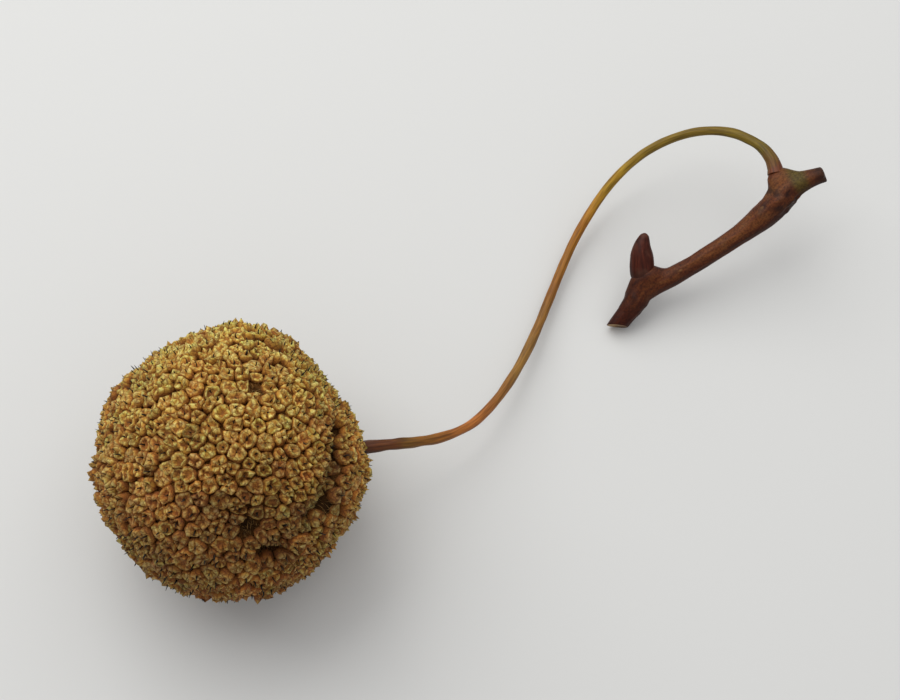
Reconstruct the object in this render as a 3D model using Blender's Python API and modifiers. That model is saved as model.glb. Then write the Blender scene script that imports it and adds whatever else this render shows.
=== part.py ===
"""A dried sycamore seed ball on its stalk, with the piece of twig that it grew from.

Run it with blender --background --python part.py, or from the text editor. Units are metres and +Z is up.
The ball rests on the origin, and its stalk and twig lie towards +X.
"""

import math

import bmesh
import bpy
import numpy as np
from mathutils import Vector

MM = 0.001

# Seed head: the ball of packed seeds, whose pointed tips stand up from the floor between them
FLOOR_RADIUS = 15.2 * MM
TIP_HEIGHT = 0.85 * MM
TIP_HEIGHT_SPREAD = 0.12 * MM
TIP_COUNT = 1150
TIP_JITTER = 0.15
HEAD_CENTRE_HEIGHT = 15.1 * MM
HEAD_SEED = 11

# Where the ball rests, its floor bulges to meet the surface, so that the flat spot is one face
REST_BULGE = 0.6 * MM
REST_HALF_WIDTH = 14

# The plain hole that the stalk stands in
SOCKET_RADIUS = 1.15 * MM
SOCKET_LENGTH = 9 * MM

# Dents of the ball: azimuth and elevation in degrees, half width in degrees, depth
DENTS = [
    (31, 11, 25, 1.9 * MM),
    (-40, -13, 20, 1.1 * MM),
    (-71, 27, 7, 1.2 * MM),
    (-82, 42, 9, 0.5 * MM),
    (54, 73, 6, 0.4 * MM),
    (160, -20, 20, 0.4 * MM),
    (200, 25, 9, 0.5 * MM),
]
CREASE_FROM = (8, 30)
CREASE_TO = (-42, 32)
CREASE_HALF_WIDTH = 5
CREASE_DEPTH = 0.8 * MM
WAVE_HEIGHT = 0.16 * MM
WAVE_COUNT = 6

# Stalk: its middle line in millimetres, from inside the ball to the collar on the twig
STALK_LINE = [
    (13.3, 2.3, 12.6),
    (15.5, 2.8, 12.1),
    (20.5, 4.1, 10.2),
    (25.3, 5.8, 7.8),
    (29.4, 9.3, 5.4),
    (33.1, 16.0, 3.2),
    (36.8, 24.0, 1.8),
    (39.7, 30.9, 1.7),
    (43.3, 38.0, 3.6),
    (48.4, 42.7, 6.8),
    (53.9, 45.0, 9.4),
    (59.2, 45.0, 10.8),
    (63.3, 42.9, 11.5),
    (65.2, 40.8, 11.8),
    (65.9, 39.2, 11.6),
]
# Radii are pairs of a share of the line's length and a radius
STALK_RADII = [
    (0.00, 0.80 * MM),
    (0.08, 0.66 * MM),
    (0.20, 0.58 * MM),
    (0.50, 0.60 * MM),
    (0.80, 0.55 * MM),
    (0.94, 0.64 * MM),
    (1.00, 0.95 * MM),
]
STALK_STEPS = 90

# Twig: its middle line in millimetres, from the cut face to the broken stub
TWIG_LINE = [
    (46.8, 22.6, 1.3),
    (48.2, 24.2, 2.2),
    (49.6, 26.0, 3.1),
    (51.1, 26.8, 3.6),
    (53.6, 27.8, 4.4),
    (57.0, 29.5, 5.7),
    (60.7, 31.5, 7.3),
    (64.1, 33.6, 8.8),
    (66.5, 35.5, 10.4),
    (67.8, 36.6, 11.3),
    (69.6, 37.4, 12.2),
    (71.1, 38.0, 12.8),
    (72.1, 38.3, 13.1),
]
TWIG_RADII = [
    (0.00, 1.22 * MM),
    (0.07, 1.35 * MM),
    (0.14, 1.55 * MM),
    (0.22, 1.25 * MM),
    (0.45, 1.15 * MM),
    (0.60, 1.25 * MM),
    (0.72, 1.60 * MM),
    (0.80, 1.65 * MM),
    (0.88, 1.25 * MM),
    (0.95, 1.15 * MM),
    (1.00, 0.85 * MM),
]
TWIG_STEPS = 48

# Swellings of the twig: a cushion under the bud and a collar that the stalk stands on.
# Profiles are pairs of a radius and a height, from the foot towards the tip, in millimetres.
CUSHION_FOOT = (49.8, 26.4, 3.2)
CUSHION_PROFILE = [(0, -0.6), (1.1, -0.4), (1.5, 0.5), (1.5, 1.3), (1.25, 1.9), (0, 1.9)]
COLLAR_FOOT = (66.7, 36.4, 11.2)
COLLAR_PROFILE = [(0, -0.3), (1.3, 0), (1.4, 1.0), (1.15, 2.6), (0, 2.6)]

# Bud: one cap, a blunt cone on the swollen cushion, flattened a little
BUD_FOOT = (49.7, 28.3, 4.4)
BUD_TIP = (49.9, 32.4, 7.2)
BUD_PROFILE = [(0, 0), (1.2, 0), (1.5, 0.5), (1.5, 1.4), (1.3, 2.6), (1.0, 3.7), (0.65, 4.5), (0.3, 4.9), (0, 5.0)]
BUD_FLATNESS = 0.9

# The gap that touching pieces keep
GAP = 0.3 * MM


def clear_scene():
    for thing in list(bpy.data.objects):
        bpy.data.objects.remove(thing, do_unlink=True)


def collection_named(name):
    collection = bpy.data.collections.new(name)
    bpy.context.scene.collection.children.link(collection)
    return collection


def material(name, colour, roughness):
    made = bpy.data.materials.new(name)
    made.use_nodes = True
    shader = made.node_tree.nodes["Principled BSDF"]
    shader.inputs["Base Color"].default_value = (*colour, 1.0)
    shader.inputs["Roughness"].default_value = roughness
    shader.inputs["Metallic"].default_value = 0.0
    return made


def direction(azimuth, elevation):
    """The unit vector at an azimuth and elevation in degrees."""
    turn, rise = math.radians(azimuth), math.radians(elevation)
    return np.array([math.cos(rise) * math.cos(turn), math.cos(rise) * math.sin(turn), math.sin(rise)])


def unit(vectors):
    return vectors / np.linalg.norm(vectors, axis=-1, keepdims=True)


def dip(cosine, half_width):
    """1 at the middle of a dent and 1/e at its half width, which is in degrees."""
    return np.exp((cosine - 1) / (1 - math.cos(math.radians(half_width))))


def floor_radius(rays):
    """The ball's radius along each unit ray, to the floor between the tips."""
    radius = np.full(len(rays), FLOOR_RADIUS)
    for azimuth, elevation, half_width, depth in DENTS:
        radius -= depth * dip(rays @ direction(azimuth, elevation), half_width)
    start, end = direction(*CREASE_FROM), direction(*CREASE_TO)
    along = np.clip((rays - start) @ (end - start) / ((end - start) @ (end - start)), 0, 1)
    nearest = unit(start + along[:, None] * (end - start))
    radius -= CREASE_DEPTH * dip((rays * nearest).sum(axis=1), CREASE_HALF_WIDTH)
    radius += REST_BULGE * dip(-rays[:, 2], REST_HALF_WIDTH)
    draw = np.random.default_rng(HEAD_SEED)
    for _ in range(WAVE_COUNT):
        axis = unit(draw.normal(size=3))
        radius += WAVE_HEIGHT * np.sin(draw.uniform(4, 9) * (rays @ axis) + draw.uniform(0, 6))
    return radius


def packed_rays(count, jitter):
    """Unit rays spread evenly by the golden angle, each nudged by a share of their spacing."""
    draw = np.random.default_rng(HEAD_SEED)
    step = np.arange(count) + 0.5
    height = 1 - 2 * step / count
    turn = step * math.pi * (3 - math.sqrt(5))
    ring = np.sqrt(1 - height**2)
    rays = np.stack([ring * np.cos(turn), ring * np.sin(turn), height], axis=1)
    spacing = math.sqrt(4 * math.pi / count)
    return unit(rays + draw.normal(0, jitter * spacing, rays.shape))


def set_radius(verts, extra):
    """Moves vertices out along their rays to the floor's radius and an extra height each."""
    rays = unit(np.array([vert.co[:] for vert in verts]))
    for vert, ray, radius in zip(verts, rays, floor_radius(rays) + extra):
        vert.co = Vector(ray * radius)


def head_mesh():
    """The ball: packed tips, each a low pyramid on its own cell, with the floor's gaps along the cells' edges."""
    draw = np.random.default_rng(HEAD_SEED + 1)
    shape = bmesh.new()
    for ray in packed_rays(TIP_COUNT, TIP_JITTER):
        shape.verts.new(ray)
    bmesh.ops.convex_hull(shape, input=shape.verts)
    tips = list(shape.verts)
    links = list(shape.edges)
    poked = bmesh.ops.poke(shape, faces=shape.faces)
    # Each link joins two tips. Turned, it joins the two floor points beside it and becomes a gap.
    bmesh.ops.rotate_edges(shape, edges=links)
    set_radius(poked["verts"], 0.0)
    set_radius(tips, TIP_HEIGHT + draw.normal(0, TIP_HEIGHT_SPREAD, len(tips)))
    bmesh.ops.recalc_face_normals(shape, faces=shape.faces)
    mesh = bpy.data.meshes.new("seed_head")
    shape.to_mesh(mesh)
    shape.free()
    return mesh


def smooth_line(points, count):
    """Evenly numbered points of a smooth curve through hand-picked points, and how far along each lies."""
    points = np.array(points)
    ends = np.vstack([2 * points[0] - points[1], points, 2 * points[-1] - points[-2]])
    place = np.linspace(0, len(points) - 1, count)
    span = np.minimum(place.astype(int), len(points) - 2)
    t = (place - span)[:, None]
    a, b, c, d = ends[span], ends[span + 1], ends[span + 2], ends[span + 3]
    line = b + 0.5 * t * (c - a + t * (2 * a - 5 * b + 4 * c - d + t * (3 * (b - c) + d - a)))
    length = np.concatenate([[0], np.cumsum(np.linalg.norm(np.diff(line, axis=0), axis=1))])
    return line, length / length[-1]


def tube(name, line_mm, radii, count, collection):
    """A closed tube mesh along a smooth line, with a radius that changes along it."""
    line, share = smooth_line(line_mm, count)
    places, sizes = np.array(radii).T
    curve = bpy.data.curves.new(name, "CURVE")
    curve.dimensions = "3D"
    curve.bevel_depth = 1.0
    curve.bevel_resolution = 2
    curve.use_fill_caps = True
    spline = curve.splines.new("POLY")
    spline.points.add(count - 1)
    for point, place, radius in zip(spline.points, line * MM, np.interp(share, places, sizes)):
        point.co = (*place, 1.0)
        point.radius = radius
    guide = bpy.data.objects.new(name + "_line", curve)
    collection.objects.link(guide)
    bpy.context.view_layer.update()
    mesh = bpy.data.meshes.new_from_object(guide.evaluated_get(bpy.context.evaluated_depsgraph_get()))
    bpy.data.objects.remove(guide, do_unlink=True)
    shape = bmesh.new()
    shape.from_mesh(mesh)
    bmesh.ops.remove_doubles(shape, verts=shape.verts, dist=0.00001)
    bmesh.ops.recalc_face_normals(shape, faces=shape.faces)
    shape.to_mesh(mesh)
    shape.free()
    made = bpy.data.objects.new(name, mesh)
    collection.objects.link(made)
    return made


def turned(name, profile, steps, collection):
    """A closed solid turned about Z from a profile of radius and height that starts and ends on the axis."""
    mesh = bpy.data.meshes.new(name)
    points = [(radius, 0.0, height) for radius, height in profile]
    mesh.from_pydata(points, [(i, i + 1) for i in range(len(points) - 1)], [])
    made = bpy.data.objects.new(name, mesh)
    collection.objects.link(made)
    screw = made.modifiers.new("turn", "SCREW")
    screw.steps = steps
    screw.render_steps = steps
    screw.use_merge_vertices = True
    screw.merge_threshold = 0.00001
    screw.use_normal_flip = True
    return made


def aim(obj, foot, tip):
    """Stands an object that was made along Z on one point, pointing at another, both in millimetres."""
    foot, tip = Vector(foot) * MM, Vector(tip) * MM
    obj.location = foot
    obj.rotation_euler = (tip - foot).to_track_quat("Z", "X").to_euler()


def cylinder(name, radius, depth, collection):
    """A cylinder that starts at its origin and runs along Z."""
    mesh = bpy.data.meshes.new(name)
    shape = bmesh.new()
    bmesh.ops.create_cone(
        shape, cap_ends=True, segments=16, radius1=radius, radius2=radius, depth=depth
    )
    bmesh.ops.translate(shape, verts=shape.verts, vec=(0, 0, depth / 2))
    shape.to_mesh(mesh)
    shape.free()
    made = bpy.data.objects.new(name, mesh)
    collection.objects.link(made)
    return made


def boolean(target, other, operation):
    modifier = target.modifiers.new(other.name, "BOOLEAN")
    modifier.operation = operation
    modifier.solver = "EXACT"
    modifier.object = other


def hide(obj):
    obj.hide_render = True
    obj.display_type = "WIRE"


def add_head(part, cutters):
    head = bpy.data.objects.new("seed_head", head_mesh())
    head.location.z = HEAD_CENTRE_HEIGHT
    part.objects.link(head)
    floor_size = 20 * MM
    bpy.ops.mesh.primitive_cube_add(size=floor_size, location=(0, 0, -floor_size / 2))
    rest = bpy.context.object
    rest.name = "rest_cut"
    bpy.context.collection.objects.unlink(rest)
    cutters.objects.link(rest)
    socket = cylinder("socket_cut", SOCKET_RADIUS, SOCKET_LENGTH, cutters)
    aim(socket, STALK_LINE[0], STALK_LINE[1])
    inward = (Vector(STALK_LINE[0]) - Vector(STALK_LINE[1])).normalized()
    socket.location += inward * GAP
    for cutter in (rest, socket):
        hide(cutter)
        boolean(head, cutter, "DIFFERENCE")
    return head


def add_bud(part):
    profile = [(radius * MM, height * MM) for radius, height in BUD_PROFILE]
    bud = turned("bud", profile, 20, part)
    aim(bud, BUD_FOOT, BUD_TIP)
    bud.scale = (1.0, BUD_FLATNESS, 1.0)
    return bud


def add_twig(part, cutters):
    twig = tube("twig", TWIG_LINE, TWIG_RADII, TWIG_STEPS, part)
    cushion = turned("cushion", [(r * MM, h * MM) for r, h in CUSHION_PROFILE], 16, cutters)
    aim(cushion, CUSHION_FOOT, BUD_FOOT)
    collar = turned("collar", [(r * MM, h * MM) for r, h in COLLAR_PROFILE], 16, cutters)
    aim(collar, COLLAR_FOOT, STALK_LINE[-1])
    for swelling in (cushion, collar):
        hide(swelling)
        boolean(twig, swelling, "UNION")
    return twig


def main():
    clear_scene()
    part = collection_named("sycamore_seed_ball")
    cutters = collection_named("cutters")
    cutters.hide_render = True
    head = add_head(part, cutters)
    stalk = tube("stalk", STALK_LINE, STALK_RADII, STALK_STEPS, part)
    twig = add_twig(part, cutters)
    bud = add_bud(part)
    head.data.materials.append(material("dried seed tips", (0.40, 0.28, 0.11), 0.85))
    stalk.data.materials.append(material("dry stalk", (0.27, 0.15, 0.05), 0.6))
    twig.data.materials.append(material("twig bark", (0.13, 0.05, 0.03), 0.55))
    bud.data.materials.append(material("bud cap", (0.09, 0.03, 0.03), 0.5))
    for smooth in (stalk, twig, bud):
        smooth.data.shade_smooth()


main()
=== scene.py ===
"""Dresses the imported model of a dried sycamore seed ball, with its stalk, twig and bud, for a picture.

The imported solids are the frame: they give the places in metres, and the pieces made here stand for them.
Every piece is a surface worked out as whole arrays, and every finish is made of shader nodes.
"""

import logging
import math
from collections.abc import Mapping, Sequence
from dataclasses import dataclass
from enum import Enum
from typing import Any

import bpy
import numpy as np
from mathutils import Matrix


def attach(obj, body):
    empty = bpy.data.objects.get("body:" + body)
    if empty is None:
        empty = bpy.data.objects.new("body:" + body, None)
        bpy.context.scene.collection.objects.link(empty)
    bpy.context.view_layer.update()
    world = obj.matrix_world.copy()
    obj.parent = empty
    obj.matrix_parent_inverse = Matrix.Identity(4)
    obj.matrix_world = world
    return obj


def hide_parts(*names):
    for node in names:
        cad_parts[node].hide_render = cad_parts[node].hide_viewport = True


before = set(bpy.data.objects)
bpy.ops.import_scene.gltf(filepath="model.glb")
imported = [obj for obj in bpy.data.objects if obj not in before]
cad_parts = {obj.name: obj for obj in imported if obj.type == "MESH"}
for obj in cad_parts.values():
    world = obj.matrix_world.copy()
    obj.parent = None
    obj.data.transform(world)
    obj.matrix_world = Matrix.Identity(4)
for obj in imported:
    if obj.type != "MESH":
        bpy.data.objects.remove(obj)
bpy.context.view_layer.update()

MM = 0.001
BODY = "root"
log = logging.getLogger("seed_ball")

Array = np.ndarray
Draw = np.random.Generator
Socket = bpy.types.NodeSocket
Table = tuple[tuple[float, ...], ...]

UPWARDS = (0.0, 0.0, 1.0)
# A direction that no strand follows, from which the rings round the strands are laid out
OFF_AXIS = (0.31, 0.52, 0.79)


def linear(colour: str) -> tuple[float, float, float, float]:
    """Turns an sRGB hex colour into the linear one that shaders take.

    Args:
        colour: six hex digits after a hash sign.

    Returns:
        Red, green, blue and an alpha of 1.
    """
    parts = [int(colour[place : place + 2], 16) / 255 for place in (1, 3, 5)]
    lit = [part / 12.92 if part <= 0.04045 else ((part + 0.055) / 1.055) ** 2.4 for part in parts]
    return lit[0], lit[1], lit[2], 1.0


def add_node(
    tree: bpy.types.NodeTree,
    kind: str,
    inputs: Mapping[str | int, Any] | None = None,
    stops: Sequence[tuple[float, str]] = (),
    **settings: Any,
) -> bpy.types.Node:
    """Adds a shader node with its settings, its values and its links.

    Args:
        tree: the material's node tree.
        kind: the node's type name.
        inputs: for each input, by name or number, a value or the socket that feeds it.
        stops: the places and hex colours of a colour ramp.
        settings: the node's own properties.

    Returns:
        The new node.
    """
    node = tree.nodes.new(kind)
    for name, value in settings.items():
        setattr(node, name, value)
    for name, value in (inputs or {}).items():
        if isinstance(value, Socket):
            tree.links.new(value, node.inputs[name])
        else:
            node.inputs[name].default_value = value
    for number, (place, colour) in enumerate(stops):
        elements = node.color_ramp.elements
        element = elements[number] if number < 2 else elements.new(place)
        element.position = place
        element.color = linear(colour)
    return node


def unit(vectors: Array) -> Array:
    """Scales vectors to length 1 along their last axis."""
    return vectors / np.linalg.norm(vectors, axis=-1, keepdims=True)


def bearing(azimuth: float, elevation: float) -> Array:
    """Gives the unit vector at an azimuth and elevation in degrees."""
    turn, rise = math.radians(azimuth), math.radians(elevation)
    return np.array([math.cos(rise) * math.cos(turn), math.cos(rise) * math.sin(turn), math.sin(rise)])


def turns(count: int) -> Array:
    """Gives angles spaced evenly round a circle."""
    return 2 * math.pi * np.arange(count) / count


def circle(turn: Array, side: Array, lift: Array) -> Array:
    """Gives the directions at each angle between two others: cos(angle) side + sin(angle) lift."""
    return np.cos(turn)[:, None] * side[..., None, :] + np.sin(turn)[:, None] * lift[..., None, :]


def hump(place: Array, middle: float, width: float, power: int = 2) -> Array:
    """Gives e to the power of minus the distance from the middle over the width, raised to the power."""
    return np.exp(-(((place - middle) / width) ** power))


def ripples(points: Array, wavelength: float, seed: int, waves: int = 14) -> Array:
    """Gives smooth random bumps: the mean of sine waves that run in random directions.

    Args:
        points: places, with three numbers along the last axis.
        wavelength: the waves' mean length, in the places' own units.
        seed: the random draw.
        waves: how many waves are added.

    Returns:
        A number of about -1 to 1 for each point.
    """
    draw = np.random.default_rng(seed)
    directions = unit(draw.normal(size=(waves, 3))) / (wavelength * draw.uniform(0.7, 1.4, (waves, 1)))
    phases = draw.uniform(0, 2 * math.pi, waves)
    return np.sin(2 * math.pi * points @ directions.T + phases).sum(axis=-1) / waves**0.5


def smooth_line(points: Sequence[Sequence[float]], count: int) -> tuple[Array, Array]:
    """Runs a smooth curve through points: a cubic in each span, with no corner where two spans meet.

    At each point the curve runs as the straight line between the point's two neighbours does.

    Args:
        points: the given points of the line.
        count: how many points the curve gets.

    Returns:
        The curve's points, and the share of its length at which each lies.
    """
    known = np.array(points, float)
    ends = np.vstack([2 * known[0] - known[1], known, 2 * known[-1] - known[-2]])
    place = np.linspace(0, len(known) - 1, count)
    span = np.minimum(place.astype(int), len(known) - 2)
    t = (place - span)[:, None]
    a, b, c, d = ends[span], ends[span + 1], ends[span + 2], ends[span + 3]
    line = b + 0.5 * t * (c - a + t * (2 * a - 5 * b + 4 * c - d + t * (3 * (b - c) + d - a)))
    length = np.concatenate([[0], np.cumsum(np.linalg.norm(np.diff(line, axis=0), axis=1))])
    return line, length / length[-1]


def stack_faces(rings: int, columns: int, copies: int = 1) -> tuple[Array, Array]:
    """Numbers the faces of closed stacks of rings: quads between rings, and a fan to a pole at each end.

    Args:
        rings: rings in a stack.
        columns: points round a ring.
        copies: how many stacks the mesh holds. Each has its rings' points, then its first and last pole.

    Returns:
        The quads and the triangles, wound so that they face outwards.
    """
    ring = np.arange(rings * columns).reshape(rings, columns)
    after = np.roll(ring, -1, axis=1)
    quads = np.stack([ring[:-1], after[:-1], after[1:], ring[1:]], axis=-1).reshape(-1, 4)
    foot = np.full(columns, rings * columns)
    first = np.stack([foot, after[0], ring[0]], axis=-1)
    last = np.stack([foot + 1, ring[-1], after[-1]], axis=-1)
    shift = (np.arange(copies) * (rings * columns + 2))[:, None, None]
    quads = (quads[None] + shift).reshape(-1, 4)
    triangles = (np.concatenate([first, last])[None] + shift).reshape(-1, 3)
    return quads, triangles


def make_mesh(
    name: str, points: Array, faces: tuple[Array, Array], values: Mapping[str, Array]
) -> bpy.types.Mesh:
    """Puts arrays of points and faces into a smooth mesh.

    Args:
        name: the mesh's name.
        points: one row of three numbers for each point.
        faces: the quads and the triangles.
        values: for each named attribute, a number, a vector or a colour for each point.

    Returns:
        The mesh.
    """
    quads, triangles = faces
    corners = np.concatenate([quads.ravel(), triangles.ravel()]).astype(np.int32)
    starts = np.concatenate([4 * np.arange(len(quads)), 4 * len(quads) + 3 * np.arange(len(triangles))])
    mesh = bpy.data.meshes.new(name)
    mesh.vertices.add(len(points))
    mesh.vertices.foreach_set("co", points.astype(np.float32).ravel())
    mesh.loops.add(len(corners))
    mesh.loops.foreach_set("vertex_index", corners)
    mesh.polygons.add(len(starts))
    mesh.polygons.foreach_set("loop_start", starts.astype(np.int32))
    mesh.update(calc_edges=True)
    kinds = {1: ("FLOAT", "value"), 3: ("FLOAT_VECTOR", "vector"), 4: ("FLOAT_COLOR", "color")}
    for label, value in values.items():
        kind, key = kinds[value.shape[1] if value.ndim > 1 else 1]
        layer = mesh.attributes.new(label, kind, "POINT")
        layer.data.foreach_set(key, value.astype(np.float32).ravel())
    mesh.shade_smooth()
    return mesh


def add_object(data: bpy.types.ID) -> bpy.types.Object:
    """Adds an object for a mesh, a camera or a light, by its own name and at the origin."""
    made = bpy.data.objects.new(data.name, data)
    bpy.context.scene.collection.objects.link(made)
    return made


def add_piece(mesh: bpy.types.Mesh, material: bpy.types.Material, node: str) -> bpy.types.Object:
    """Adds a piece of the object, which stands for a solid of the frame.

    Args:
        mesh: the piece's shape, in place.
        material: its finish.
        node: the solid that it stands for.

    Returns:
        The piece.
    """
    mesh.materials.append(material)
    piece = add_object(mesh)
    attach(piece, BODY)
    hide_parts(node)
    log.info("%s: %d points, %d faces", piece.name, len(mesh.vertices), len(mesh.polygons))
    return piece


class Tint(Enum):
    """The colours that seed tips dry to, each with its usual share of the tips."""

    OCHRE = ("#E4CE84", 0.36)
    STRAW = ("#E8DE94", 0.21)
    OLIVE = ("#C6CC7C", 0.21)
    ORANGE = ("#E4BE78", 0.12)
    PLUM = ("#CEB082", 0.08)
    RUST = ("#D4AA70", 0.02)


class Shading:
    """One material's nodes. Each method adds a node and hands on the socket that carries its result."""

    def __init__(self, name: str) -> None:
        """Makes the material, named for what the real surface is, with no nodes yet."""
        self.material = bpy.data.materials.new(name)
        self.material.use_nodes = True
        self.tree = self.material.node_tree
        self.tree.nodes.clear()

    def place(self) -> Socket:
        """Gives the place on the object, in metres."""
        return add_node(self.tree, "ShaderNodeTexCoord").outputs["Object"]

    def read(self, label: str, output: str = "Fac") -> Socket:
        """Reads one of the mesh's attributes."""
        return add_node(self.tree, "ShaderNodeAttribute", attribute_name=label).outputs[output]

    def stretch(self, place: Socket, across: float, along: float) -> Socket:
        """Scales a place laid out straight, so that these two lengths in metres become 1."""
        scale = (1 / across, 1 / across, 1 / along)
        return add_node(self.tree, "ShaderNodeMapping", {"Vector": place, "Scale": scale}).outputs["Vector"]

    def noise(self, place: Socket, size: float, detail: float, roughness: float = 0.5) -> Socket:
        """Gives cloudy patches of about the size, in the place's own units."""
        inputs = {"Vector": place, "Scale": 1 / size, "Detail": detail, "Roughness": roughness}
        return add_node(self.tree, "ShaderNodeTexNoise", inputs).outputs["Fac"]

    def cells(self, place: Socket, size: float, feature: str = "F1") -> Socket:
        """Gives the distance to the middle, or to the edge, of the nearest of many irregular cells."""
        inputs = {"Vector": place, "Scale": 1 / size}
        return add_node(self.tree, "ShaderNodeTexVoronoi", inputs, feature=feature).outputs["Distance"]

    def ramp(self, factor: Socket, *stops: tuple[float, str]) -> Socket:
        """Turns a number into a colour by the hex colours at given places."""
        return add_node(self.tree, "ShaderNodeValToRGB", {"Fac": factor}, stops).outputs["Color"]

    def span(self, value: Socket, low: float, high: float, start: float = 0.0, end: float = 1.0) -> Socket:
        """Maps the numbers from low to high evenly to those from start to end, and holds them there."""
        inputs = {"Value": value, "From Min": low, "From Max": high, "To Min": start, "To Max": end}
        return add_node(self.tree, "ShaderNodeMapRange", inputs).outputs["Result"]

    def sum(self, value: Socket, share: float, other: Socket) -> Socket:
        """Adds a share of one number to another."""
        inputs = {0: value, 1: share, 2: other}
        return add_node(self.tree, "ShaderNodeMath", inputs, operation="MULTIPLY_ADD").outputs["Value"]

    def mix(self, share: float | Socket, first: Socket, second: str | Socket, blend: str = "MIX") -> Socket:
        """Blends a share of the second colour, a hex colour or a socket, into the first."""
        inputs = {0: share, 6: first, 7: linear(second) if isinstance(second, str) else second}
        return add_node(self.tree, "ShaderNodeMix", inputs, data_type="RGBA", blend_type=blend).outputs[2]

    def darken(self, share: float | Socket, first: Socket, second: str | Socket) -> Socket:
        """Multiplies the first colour by a share of the second."""
        return self.mix(share, first, second, "MULTIPLY")

    def bump(self, height: Socket, strength: float, distance: float) -> Socket:
        """Raises the surface by a height that stands for the distance, in metres, where it is 1."""
        inputs = {"Height": height, "Strength": strength, "Distance": distance}
        return add_node(self.tree, "ShaderNodeBump", inputs).outputs["Normal"]

    def surface(
        self, colour: Any, roughness: float | Socket, specular: float, normal: Socket | None = None
    ) -> bpy.types.Material:
        """Closes the material.

        Args:
            colour: the base colour, as a linear colour or a socket.
            roughness: how matt it is.
            specular: how strongly it mirrors, where 0.5 stands for an index of refraction of 1.5.
            normal: the bumps, if it has any.

        Returns:
            The material.
        """
        inputs = {"Base Color": colour, "Roughness": roughness, "Specular IOR Level": specular}
        if normal:
            inputs["Normal"] = normal
        shader = add_node(self.tree, "ShaderNodeBsdfPrincipled", inputs)
        add_node(self.tree, "ShaderNodeOutputMaterial", {"Surface": shader.outputs["BSDF"]})
        return self.material


@dataclass(frozen=True)
class SeedTipFinish:
    """Dried seed husk: dull, woody and finely wrinkled, tinted tip by tip, with painted shade in its
    hollows.
    """

    painted_hollow_shade: str = "#804E1E"
    wrinkle: float = 0.30 * MM
    crease: float = 0.75 * MM
    crease_waver: float = 0.0003
    mottle: float = 0.7 * MM

    def make(self) -> bpy.types.Material:
        """Builds the material, which reads each point's tint and its painted shade, which is deeper in a
        hollow.
        """
        nodes = Shading("dried seed husk")
        place = nodes.place()
        fine = nodes.noise(place, self.wrinkle, 4.0, 0.65)
        # Wrinkles carry the dust: the husk is a fifth lighter or darker along them
        dust = nodes.ramp(fine, (0.32, "#9C8260"), (0.62, "#FFFFFF"))
        colour = nodes.darken(0.75, nodes.read("tint", "Color"), dust)
        broad = nodes.noise(place, self.mottle, 2.0)
        mottled = nodes.ramp(broad, (0.34, "#CAA880"), (0.50, "#F2E6CA"), (0.64, "#F8FFD4"))
        colour = nodes.darken(0.6, colour, mottled)
        # The husk has cracked into small plates as it dried, and the creases between them hold dirt
        inputs = {0: self.crease_waver, 4: place, 5: fine.node.outputs["Color"]}
        wavy = add_node(nodes.tree, "ShaderNodeMix", inputs, data_type="VECTOR").outputs[1]
        plates = nodes.cells(wavy, self.crease, "DISTANCE_TO_EDGE")
        colour = nodes.darken(0.75, colour, nodes.ramp(plates, (0.0, "#8E602C"), (0.12, "#FFFFFF")))
        # Rims keep their tint, while the flanks below them take painted shade of a deeper brown and the
        # hollows take the darker painted shade colour
        painted_hollow_shade = nodes.read("painted_hollow_shade")
        flank = nodes.ramp(painted_hollow_shade, (0.0, "#FFFFFF"), (0.10, "#F4E6C6"), (0.26, "#DCB27C"), (0.6, "#C48C50"))
        colour = nodes.darken(1.0, colour, flank)
        depth = nodes.span(painted_hollow_shade, 0.4, 1.0)
        depth.node.interpolation_type = "SMOOTHSTEP"
        colour = nodes.mix(depth, colour, self.painted_hollow_shade)
        return nodes.surface(colour, 0.78, 0.3, nodes.bump(fine, 1.0, 0.17 * MM))


@dataclass(frozen=True)
class SeedGroundFinish:
    """Seed sides and matted hair seen between the tips: dark brown, fibrous and quite without gloss."""

    deep: str = "#180F06"
    dark: str = "#502C10"
    light: str = "#926028"
    strand: float = 0.18 * MM

    def make(self) -> bpy.types.Material:
        """Builds the material of the ground, whose painted shade in the crease and the folds is darkest
        where the tips have gone.
        """
        nodes = Shading("matted seed hair")
        noise = nodes.noise(nodes.place(), self.strand, 4.0, 0.7)
        colour = nodes.ramp(noise, (0.35, self.dark), (0.7, self.light))
        # The deep colour is painted shade in the crease and the folds
        colour = nodes.mix(nodes.read("painted_fold_shade"), colour, self.deep)
        return nodes.surface(colour, 0.95, 0.1, nodes.bump(noise, 0.9, 0.12 * MM))


@dataclass(frozen=True)
class FibreFinish:
    """Dry plant fibre, for the spikes and hairs: dark and slightly glossy at one end, paler at the other."""

    name: str
    foot: str
    tip: str
    roughness: float
    patch: float = 1.4 * MM

    def make(self) -> bpy.types.Material:
        """Builds the material, which reads how far along its strand each point lies."""
        nodes = Shading(self.name)
        mixed = nodes.sum(nodes.noise(nodes.place(), self.patch, 1.0), 0.8, nodes.read("along"))
        return nodes.surface(nodes.ramp(mixed, (0.3, self.foot), (1.0, self.tip)), self.roughness, 0.3)


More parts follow.
